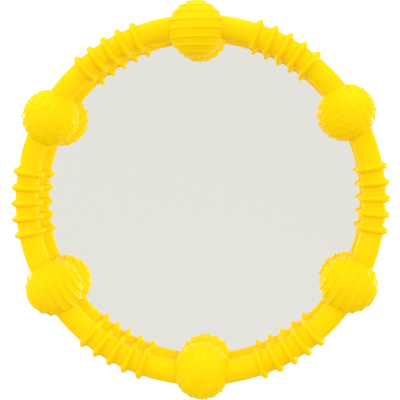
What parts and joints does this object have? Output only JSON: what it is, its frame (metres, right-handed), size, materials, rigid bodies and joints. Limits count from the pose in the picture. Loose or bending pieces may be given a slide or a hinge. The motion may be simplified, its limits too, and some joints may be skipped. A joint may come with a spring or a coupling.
{
  "type": "tactile juggling ring",
  "caption": "Round tubular juggling and grip ring: ribbed soft sleeves on a stiff hoop, with ridged and studded hollow balls in turn between them.",
  "frame": {"origin": "centre of the ring, on its axis, in the plane where the two halves of each ball meet", "axes": "+Z along the ring's axis, out of its front; +Y from the centre to the first ridged ball; the ring lies flat with -Z down"},
  "size_m": [0.2374, 0.2498, 0.0366],
  "materials": {
    "sleeve_vinyl": "satin yellow soft vinyl",
    "ridged_vinyl": "satin yellow soft vinyl",
    "studded_vinyl": "satin yellow soft vinyl",
    "hoop": "natural extruded plastic tube",
    "joiner": "matt moulded plastic"
  },
  "bodies": {
    "root": {"core_hoop": "hoop", "hoop_joiner": "joiner", "ribbed_sleeve_1": "sleeve_vinyl", "ribbed_sleeve_2": "sleeve_vinyl", "ribbed_sleeve_3": "sleeve_vinyl", "ribbed_sleeve_4": "sleeve_vinyl", "ribbed_sleeve_5": "sleeve_vinyl", "ribbed_sleeve_6": "sleeve_vinyl", "ridged_ball_1_front": "ridged_vinyl", "ridged_ball_1_back": "ridged_vinyl", "ridged_ball_2_front": "ridged_vinyl", "ridged_ball_2_back": "ridged_vinyl", "ridged_ball_3_front": "ridged_vinyl", "ridged_ball_3_back": "ridged_vinyl", "studded_ball_1_front": "studded_vinyl", "studded_ball_1_back": "studded_vinyl", "studded_ball_2_front": "studded_vinyl", "studded_ball_2_back": "studded_vinyl", "studded_ball_3_front": "studded_vinyl", "studded_ball_3_back": "studded_vinyl"}
  },
  "joints": []
}
